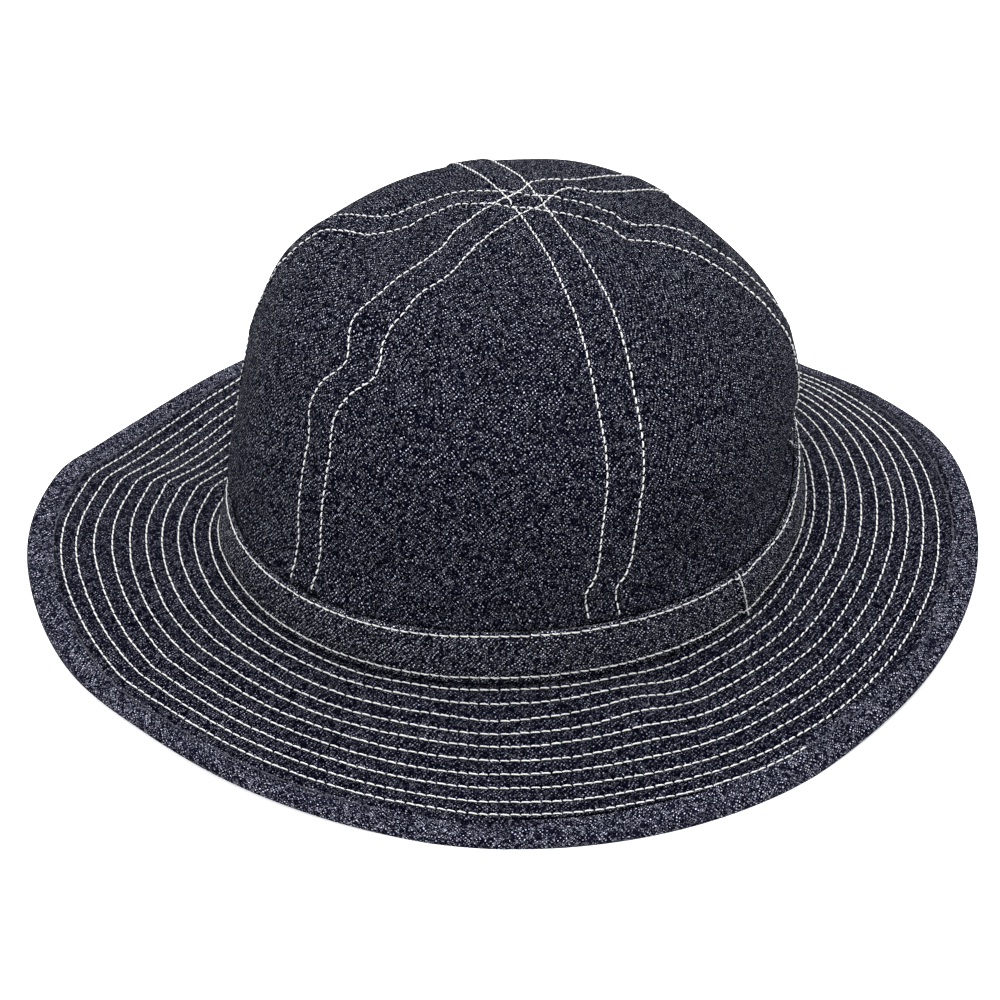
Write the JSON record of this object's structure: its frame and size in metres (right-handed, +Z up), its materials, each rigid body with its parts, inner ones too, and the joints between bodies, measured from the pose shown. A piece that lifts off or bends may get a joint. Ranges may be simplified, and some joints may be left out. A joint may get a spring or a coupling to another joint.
{
  "type": "denim army hat",
  "caption": "Soft denim work hat with a panelled round crown, a sewn band and a wide brim stitched in close rows.",
  "frame": {"origin": "centre of the hat's outline on the surface that its brim rests on", "axes": "+Z up, out of the crown's top; -Y to the front; +X to the hat's right as seen from the front"},
  "size_m": [0.3096, 0.3036, 0.1213],
  "materials": {
    "crown_denim": "raw indigo denim, matte twill",
    "band_denim": "raw indigo denim, matte twill",
    "brim_denim": "raw indigo denim, stitched in rows",
    "binding_denim": "raw indigo denim, lightly worn",
    "stitching": "ecru cotton thread",
    "edge_stitching": "navy cotton thread"
  },
  "bodies": {
    "root": {"crown_panel_front": "crown_denim", "crown_panel_front_right": "crown_denim", "crown_panel_back_right": "crown_denim", "crown_panel_back": "crown_denim", "crown_panel_back_left": "crown_denim", "crown_panel_front_left": "crown_denim", "hat_band": "band_denim", "brim": "brim_denim", "brim_binding": "binding_denim"}
  },
  "joints": []
}
